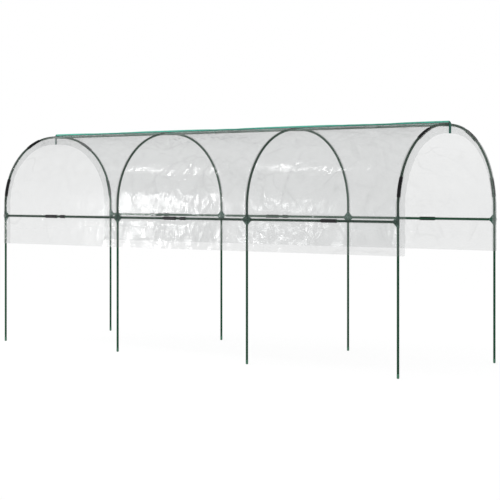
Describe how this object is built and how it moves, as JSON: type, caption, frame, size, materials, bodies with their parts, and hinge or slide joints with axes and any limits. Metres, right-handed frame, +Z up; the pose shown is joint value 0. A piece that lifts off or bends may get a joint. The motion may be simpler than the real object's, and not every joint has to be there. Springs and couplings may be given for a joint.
{
  "type": "tomato greenhouse",
  "caption": "Open-ended tunnel greenhouse: hoops of green steel tube joined by rails and plastic fittings, under a clear film cover that hangs free below the side rails.",
  "frame": {"origin": "on the ground under the middle of the tunnel", "axes": "X along the tunnel, -Y to its front side, +Z up"},
  "size_m": [3.9726, 1.2184, 1.7083],
  "materials": {
    "coated_steel": "satin dark green coating",
    "fitting_plastic": "moulded, satin",
    "clip_plastic": "moulded, satin black",
    "clear_film": "clear, slightly hazy and creased",
    "binding_tape": "woven edge tape"
  },
  "bodies": {
    "frame": {"leg_front_1": "coated_steel", "leg_front_2": "coated_steel", "leg_front_3": "coated_steel", "leg_front_4": "coated_steel", "leg_back_1": "coated_steel", "leg_back_2": "coated_steel", "leg_back_3": "coated_steel", "leg_back_4": "coated_steel", "side_fitting_front_1": "fitting_plastic", "side_fitting_front_2": "fitting_plastic", "side_fitting_front_3": "fitting_plastic", "side_fitting_front_4": "fitting_plastic", "side_fitting_back_1": "fitting_plastic", "side_fitting_back_2": "fitting_plastic", "side_fitting_back_3": "fitting_plastic", "side_fitting_back_4": "fitting_plastic", "arch_front_1": "coated_steel", "arch_front_2": "coated_steel", "arch_front_3": "coated_steel", "arch_front_4": "coated_steel", "arch_back_1": "coated_steel", "arch_back_2": "coated_steel", "arch_back_3": "coated_steel", "arch_back_4": "coated_steel", "ridge_fitting_1": "fitting_plastic", "ridge_fitting_2": "fitting_plastic", "ridge_fitting_3": "fitting_plastic", "ridge_fitting_4": "fitting_plastic", "rail_front_1": "coated_steel", "rail_front_2": "coated_steel", "rail_front_3": "coated_steel", "rail_back_1": "coated_steel", "rail_back_2": "coated_steel", "rail_back_3": "coated_steel", "ridge_rail_1": "coated_steel", "ridge_rail_2": "coated_steel", "ridge_rail_3": "coated_steel", "hoop_clip_front_1_lower": "clip_plastic", "hoop_clip_front_1_upper": "clip_plastic", "hoop_clip_front_4_lower": "clip_plastic", "hoop_clip_front_4_upper": "clip_plastic", "hoop_clip_back_1_lower": "clip_plastic", "hoop_clip_back_1_upper": "clip_plastic", "hoop_clip_back_4_lower": "clip_plastic", "hoop_clip_back_4_upper": "clip_plastic", "long_rail_clip_front_1": "clip_plastic", "long_rail_clip_front_2": "clip_plastic", "long_rail_clip_front_3": "clip_plastic", "short_rail_clip_front_1": "clip_plastic", "short_rail_clip_front_2": "clip_plastic", "long_rail_clip_back_1": "clip_plastic", "long_rail_clip_back_2": "clip_plastic", "long_rail_clip_back_3": "clip_plastic", "short_rail_clip_back_1": "clip_plastic", "short_rail_clip_back_2": "clip_plastic", "film_front": "clear_film", "film_back": "clear_film", "ridge_binding": "binding_tape"},
    "front_skirt": {"skirt_front": "clear_film"},
    "back_skirt": {"skirt_back": "clear_film"}
  },
  "joints": [
    {"name": "front_skirt_lift", "type": "hinge", "parent": "frame", "child": "front_skirt", "pos_m": [0, -0.609, 1.006], "axis": [-1, 0, 0], "range_deg": [0, 170]},
    {"name": "back_skirt_lift", "type": "hinge", "parent": "frame", "child": "back_skirt", "pos_m": [0, 0.609, 1.006], "axis": [1, 0, 0], "range_deg": [0, 170]}
  ]
}
